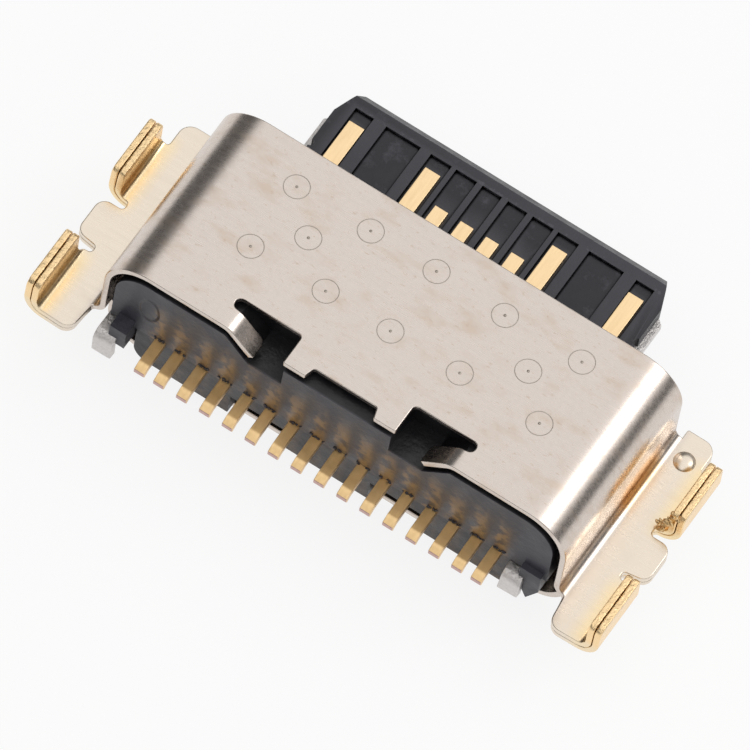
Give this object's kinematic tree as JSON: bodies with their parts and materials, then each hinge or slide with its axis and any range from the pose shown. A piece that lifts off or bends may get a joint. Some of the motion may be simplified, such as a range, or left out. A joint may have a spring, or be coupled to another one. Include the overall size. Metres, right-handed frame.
{
  "type": "phone charging port connector",
  "caption": "Sunk reversible charging port for a phone: folded two-part cover with wings and bent-up solder tabs, tongue with gold pads, row of surface-mount tails behind.",
  "frame": {"origin": "on the axis of the mouth, in the plane of the shell's front edge", "axes": "+X along the width to the wing with the boss, +Y out of the mouth along the tongue, +Z to the side that the solder tabs are bent to"},
  "size_m": [0.0114, 0.0064, 0.0032],
  "materials": {
    "nickel_cover": "satin nickel plating, gold flash at the tabs",
    "nickel_shell": "satin nickel plating",
    "plate_steel": "bare stamped stainless steel",
    "tongue_plastic": "black glass-filled plastic",
    "rear_plastic": "dark grey glass-filled plastic",
    "gold_contact": "gold-plated copper alloy"
  },
  "bodies": {
    "root": {"upper_cover": "nickel_cover", "lower_cover": "nickel_cover", "inner_shell": "nickel_shell", "mid_plate": "plate_steel", "tongue_body": "tongue_plastic", "upper_rear_block": "rear_plastic", "lower_rear_block": "rear_plastic", "upper_contact_1": "gold_contact", "upper_contact_2": "gold_contact", "upper_contact_3": "gold_contact", "upper_contact_4": "gold_contact", "upper_contact_5": "gold_contact", "upper_contact_6": "gold_contact", "upper_contact_7": "gold_contact", "upper_contact_8": "gold_contact", "lower_contact_1": "gold_contact", "lower_contact_2": "gold_contact", "lower_contact_3": "gold_contact", "lower_contact_4": "gold_contact", "lower_contact_5": "gold_contact", "lower_contact_6": "gold_contact", "lower_contact_7": "gold_contact", "lower_contact_8": "gold_contact"}
  },
  "joints": []
}
